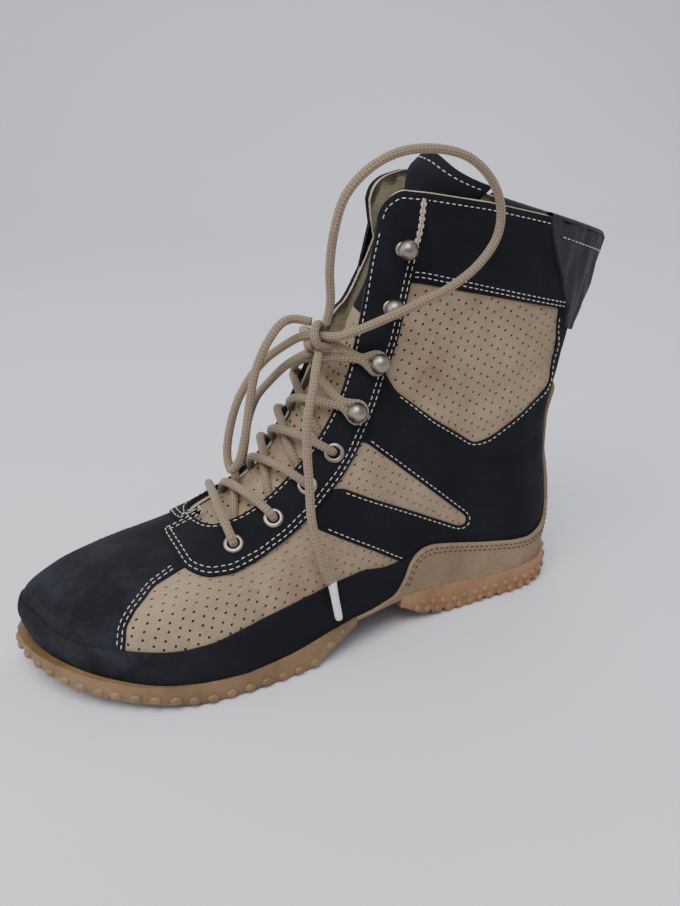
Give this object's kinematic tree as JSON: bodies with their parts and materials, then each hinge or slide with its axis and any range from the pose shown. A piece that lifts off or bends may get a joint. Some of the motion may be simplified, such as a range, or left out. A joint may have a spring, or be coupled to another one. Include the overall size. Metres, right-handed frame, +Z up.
{
  "type": "lace-up boot",
  "caption": "Mid-height lace-up boot for the left foot with a padded collar, eyelets and ball hooks, tied round laces and a split lugged rubber sole.",
  "frame": {"origin": "on the flat of the heel unit's tread, under the middle of the heel", "axes": "+X from heel to toe, +Y to the boot's outer side, +Z up from the floor"},
  "size_m": [0.2922, 0.1006, 0.2163],
  "materials": {
    "gum_rubber": "matte",
    "lasting_board": "matte",
    "insole_cloth": "matte",
    "navy_nubuck": "matte",
    "tongue_nubuck": "matte",
    "beige_suede": "matte",
    "black_leather": "satin",
    "nickel": "satin",
    "lace_cotton": "matte",
    "clear_plastic": "gloss"
  },
  "bodies": {
    "root": {"outsole_forefoot": "gum_rubber", "outsole_heel": "gum_rubber", "lasting_board": "lasting_board", "insole": "insole_cloth", "upper": "navy_nubuck", "heel_rand": "beige_suede", "pull_tab": "black_leather", "tongue": "tongue_nubuck", "lace_crossings": "lace_cotton", "eyelet_1_outer": "nickel", "eyelet_1_inner": "nickel", "eyelet_2_outer": "nickel", "eyelet_2_inner": "nickel", "eyelet_3_outer": "nickel", "eyelet_3_inner": "nickel", "eyelet_4_outer": "nickel", "eyelet_4_inner": "nickel", "hook_1_outer": "nickel", "hook_1_inner": "nickel", "hook_2_outer": "nickel", "hook_2_inner": "nickel", "hook_3_outer": "nickel", "hook_3_inner": "nickel", "hook_4_outer": "nickel", "hook_4_inner": "nickel", "lace_knot": "lace_cotton", "lace_loop_large": "lace_cotton", "lace_loop_small": "lace_cotton", "lace_end_near": "lace_cotton", "lace_end_far": "lace_cotton", "aglet_near": "clear_plastic", "aglet_far": "clear_plastic"}
  },
  "joints": []
}
